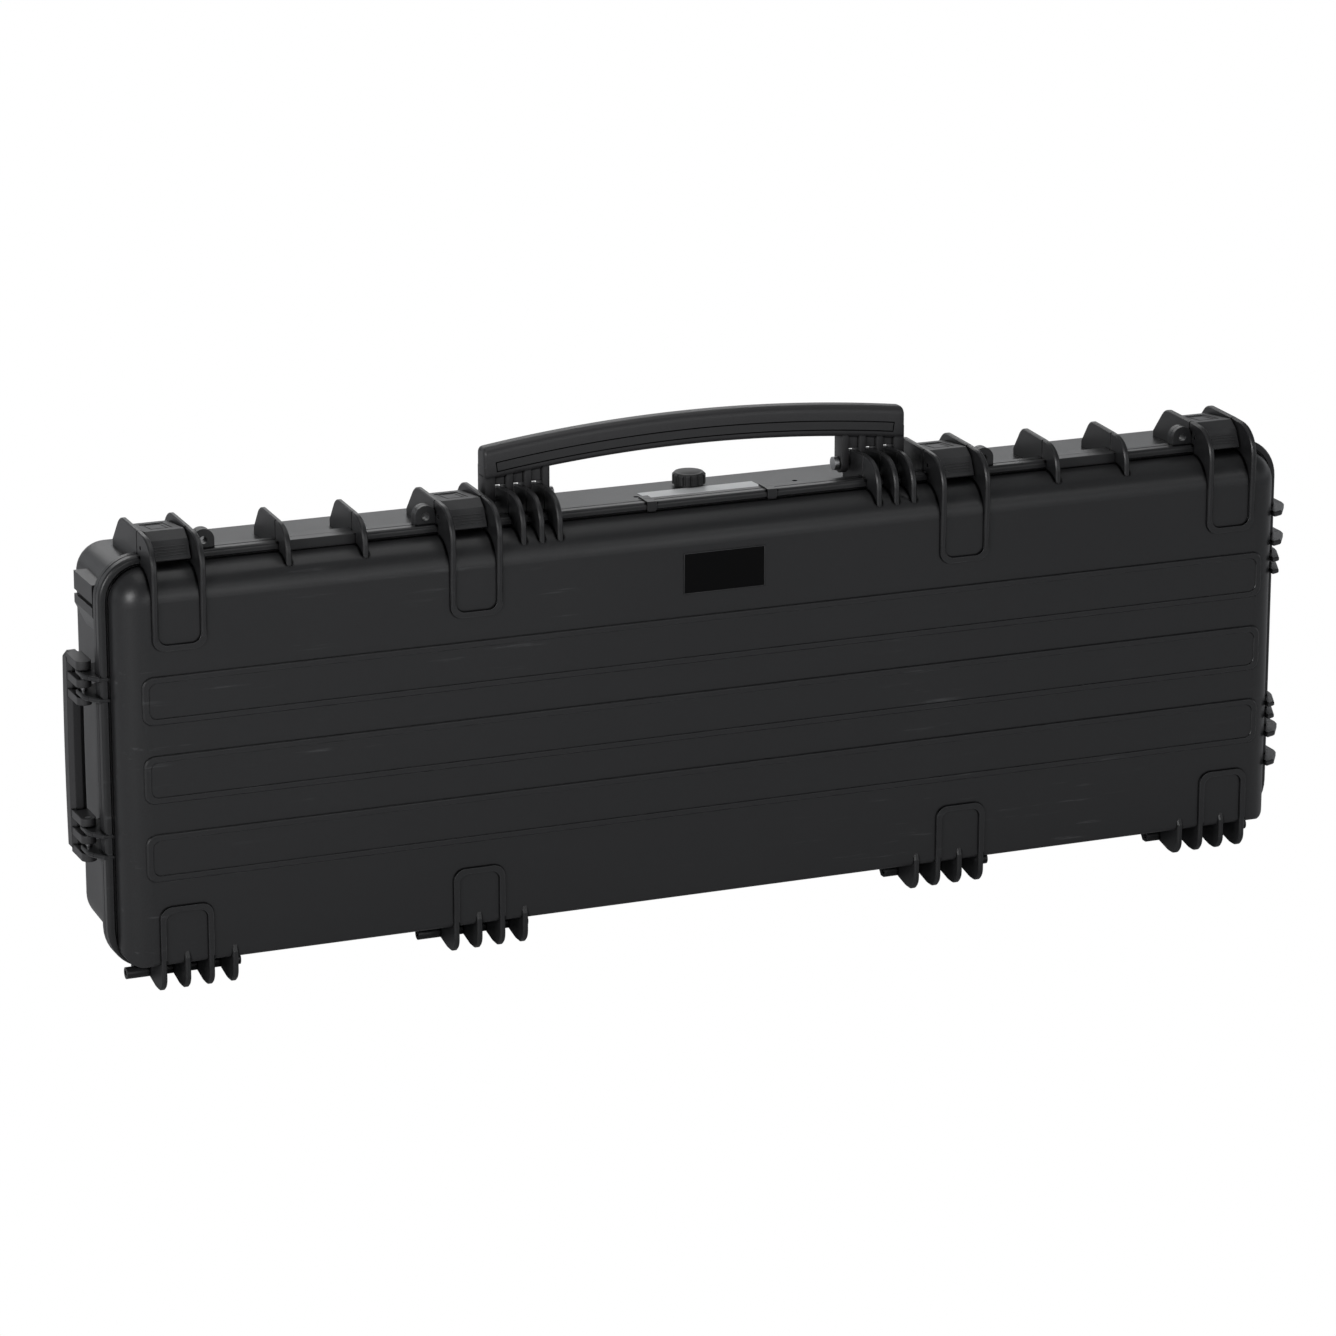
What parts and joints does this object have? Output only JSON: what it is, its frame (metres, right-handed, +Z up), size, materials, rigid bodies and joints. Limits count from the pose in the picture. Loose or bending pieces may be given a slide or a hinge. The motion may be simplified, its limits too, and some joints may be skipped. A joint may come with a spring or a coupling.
{
  "type": "multipurpose carrying case",
  "caption": "Long hard case standing on its hinge side, with ribbed shells, lever latches, folding carry handle, end handle, end wheels and a pressure valve.",
  "frame": {"origin": "under the middle of the case, at the floor it stands on", "axes": "+X along the case towards the wheel end, +Y from the lid's face towards the base's back, +Z up"},
  "size_m": [1.183, 0.159, 0.4635],
  "materials": {
    "shell": "moulded, fine matte texture",
    "latch": "moulded, satin",
    "handle": "moulded, satin",
    "grip": "soft overmould",
    "gasket": "soft",
    "steel": "turned",
    "tyre": "hard rubber",
    "hub": "moulded",
    "valve": "moulded, satin",
    "label": "bare white plate",
    "badge": "bare dark plate"
  },
  "bodies": {
    "base": {"base_shell": "shell", "hinge_pin_1": "steel", "hinge_pin_2": "steel", "hinge_pin_3": "steel", "hinge_pin_4": "steel", "carry_pin_left": "steel", "carry_pin_right": "steel", "side_pin_lower": "steel", "side_pin_upper": "steel", "wheel_axle_lower": "steel", "wheel_axle_upper": "steel", "valve_body": "valve", "valve_nut": "valve", "label_plate": "label"},
    "lid": {"lid_shell": "shell", "lid_gasket": "gasket", "badge_plate": "badge", "latch_pin_1": "steel", "latch_pin_2": "steel", "latch_pin_3": "steel", "latch_pin_4": "steel"},
    "latch_1": {"latch_lever_1": "latch"},
    "latch_2": {"latch_lever_2": "latch"},
    "latch_3": {"latch_lever_3": "latch"},
    "latch_4": {"latch_lever_4": "latch"},
    "carry_handle": {"carry_handle": "handle", "carry_grip": "grip"},
    "side_handle": {"side_handle": "handle"},
    "wheel_lower": {"wheel_hub_lower": "hub", "wheel_tyre_lower": "tyre"},
    "wheel_upper": {"wheel_hub_upper": "hub", "wheel_tyre_upper": "tyre"},
    "valve_knob": {"valve_knob": "valve"}
  },
  "joints": [
    {"name": "lid_hinge", "type": "hinge", "parent": "base", "child": "lid", "pos_m": [0, -0.0364, 0.0096], "axis": [1, 0, 0], "range_deg": [0, 100]},
    {"name": "latch_1_pivot", "type": "hinge", "parent": "lid", "child": "latch_1", "pos_m": [-0.514, -0.0465, 0.401], "axis": [1, 0, 0], "range_deg": [0, 110]},
    {"name": "latch_2_pivot", "type": "hinge", "parent": "lid", "child": "latch_2", "pos_m": [-0.239, -0.0465, 0.401], "axis": [1, 0, 0], "range_deg": [0, 110]},
    {"name": "latch_3_pivot", "type": "hinge", "parent": "lid", "child": "latch_3", "pos_m": [0.239, -0.0465, 0.401], "axis": [1, 0, 0], "range_deg": [0, 110]},
    {"name": "latch_4_pivot", "type": "hinge", "parent": "lid", "child": "latch_4", "pos_m": [0.514, -0.0465, 0.401], "axis": [1, 0, 0], "range_deg": [0, 110]},
    {"name": "carry_handle_fold", "type": "hinge", "parent": "base", "child": "carry_handle", "pos_m": [0, -0.003, 0.4], "axis": [1, 0, 0], "range_deg": [-75, 0]},
    {"name": "side_handle_swing", "type": "hinge", "parent": "base", "child": "side_handle", "pos_m": [-0.584, -0.015, 0.2043], "axis": [0, 0, 1], "range_deg": [0, 90]},
    {"name": "wheel_lower_spin", "type": "hinge", "parent": "base", "child": "wheel_lower", "pos_m": [0.5645, 0.043, 0.09225], "axis": [0, 0, 1], "continuous": true},
    {"name": "wheel_upper_spin", "type": "hinge", "parent": "base", "child": "wheel_upper", "pos_m": [0.5645, 0.043, 0.30975], "axis": [0, 0, 1], "continuous": true},
    {"name": "valve_turn", "type": "hinge", "parent": "base", "child": "valve_knob", "pos_m": [0.012, 0.0375, 0.388], "axis": [0, 0, 1], "range_deg": [0, 180]}
  ]
}
